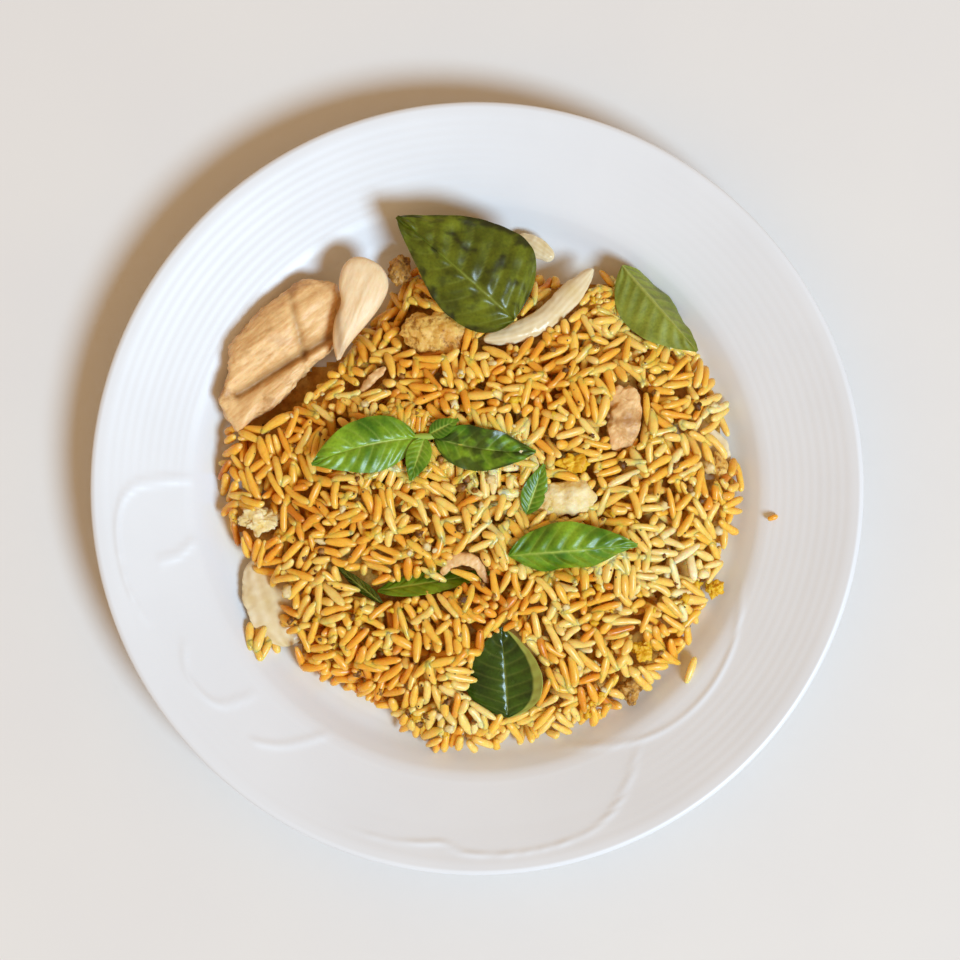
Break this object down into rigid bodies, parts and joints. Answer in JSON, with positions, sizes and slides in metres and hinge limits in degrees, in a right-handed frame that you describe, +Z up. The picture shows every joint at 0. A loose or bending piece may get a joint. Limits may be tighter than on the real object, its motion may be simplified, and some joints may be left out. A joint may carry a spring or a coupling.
{
  "type": "fried rice plate",
  "caption": "Round white porcelain dinner plate with a loose heap of fried rice, torn chicken, scrambled egg, soft onion and fresh basil leaves.",
  "frame": {"origin": "on the table at the middle of the plate's foot ring", "axes": "+Z up; +Y is the far side of the plate, where the big basil leaf lies; +X is its right"},
  "size_m": [0.25, 0.25, 0.0351],
  "materials": {
    "porcelain": "glazed white",
    "rice": "moist, oily",
    "chicken": "moist",
    "browned_egg_and_meat": "dry and crumbly",
    "egg_yolk": "soft, moist",
    "egg_white": "soft, moist",
    "onion": "translucent, moist",
    "basil": "waxy",
    "basil_underside": "matt"
  },
  "bodies": {
    "root": {"plate": "porcelain", "rice_heap": "rice", "rice_clump": "rice", "chicken_chunk": "chicken", "chicken_strip": "chicken", "chicken_shred_lump": "chicken", "chicken_shred_arch": "chicken", "chicken_shred_fork": "chicken", "browned_crumb_back": "browned_egg_and_meat", "browned_crumb_front": "browned_egg_and_meat", "egg_ragged": "egg_yolk", "egg_yolk_middle": "egg_yolk", "egg_yolk_front": "egg_yolk", "egg_yolk_right": "egg_yolk", "egg_flake_right": "egg_yolk", "egg_white_middle": "egg_white", "egg_white_left": "egg_white", "onion_strip": "onion", "onion_petal_left": "onion", "onion_petal_right": "onion", "onion_scrap": "onion", "basil_big": "basil", "basil_right": "basil_underside", "basil_sprig": "basil", "basil_tiny": "basil", "basil_middle": "basil", "basil_buried_near": "basil", "basil_buried_far": "basil", "basil_front": "basil"}
  },
  "joints": []
}
